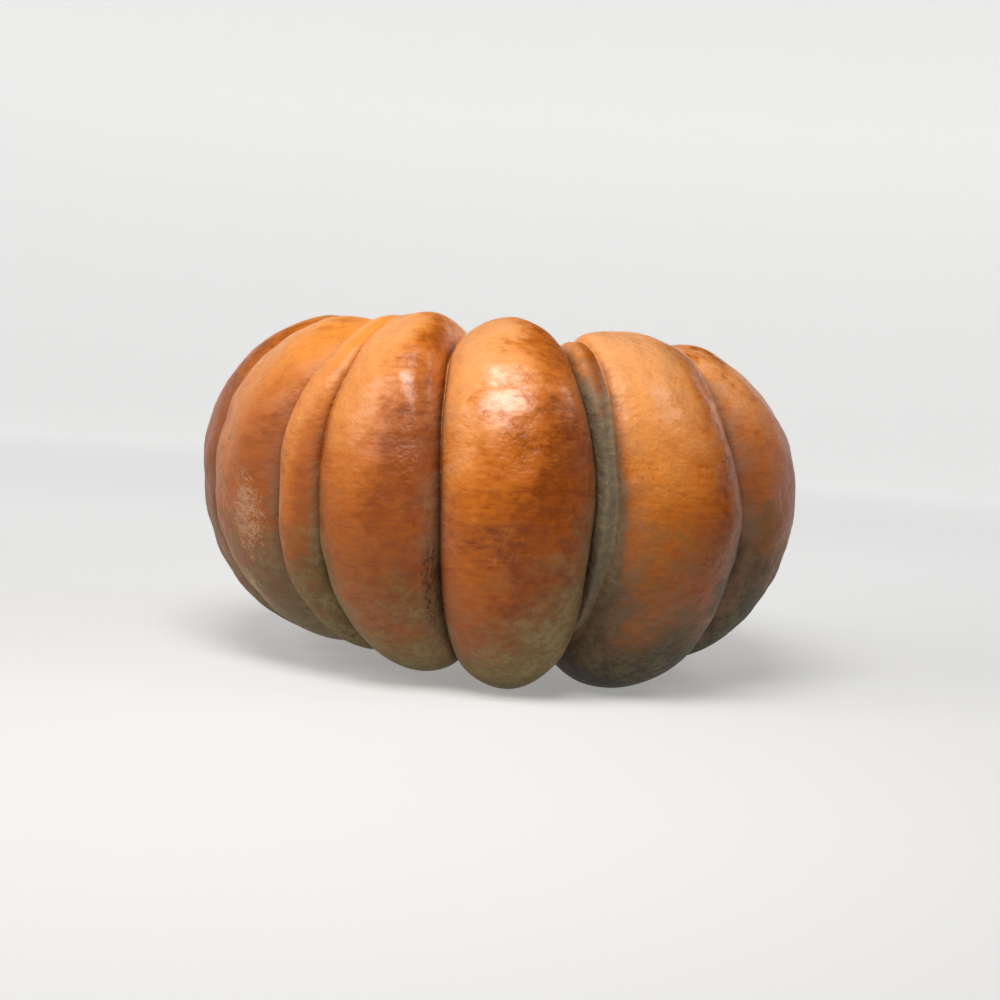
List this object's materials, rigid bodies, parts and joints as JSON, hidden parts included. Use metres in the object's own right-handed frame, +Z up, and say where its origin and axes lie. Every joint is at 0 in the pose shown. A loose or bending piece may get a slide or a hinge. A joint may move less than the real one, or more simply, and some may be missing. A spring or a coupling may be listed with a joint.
{
  "type": "fairytale pumpkin",
  "caption": "Flattened winter squash with deep rounded ribs, a waxy orange-brown rind that turns grey-green below, and a short woody stem in its sunken crown.",
  "frame": {"origin": "on the surface that the fruit rests on, below the middle of its box", "axes": "+Z up along the fruit's axis from the blossom end to the stem, -Y out of the side that faces the viewer, +X to that viewer's right"},
  "size_m": [0.3522, 0.3621, 0.2037],
  "materials": {
    "rind": "satin waxy rind, mottled orange-brown with grey-green furrows and feet and a dusty bloom",
    "stem_wood": "dry, rough and ridged, grey-brown, with a pale cut end"
  },
  "bodies": {
    "root": {"fruit": "rind", "stem": "stem_wood"}
  },
  "joints": []
}
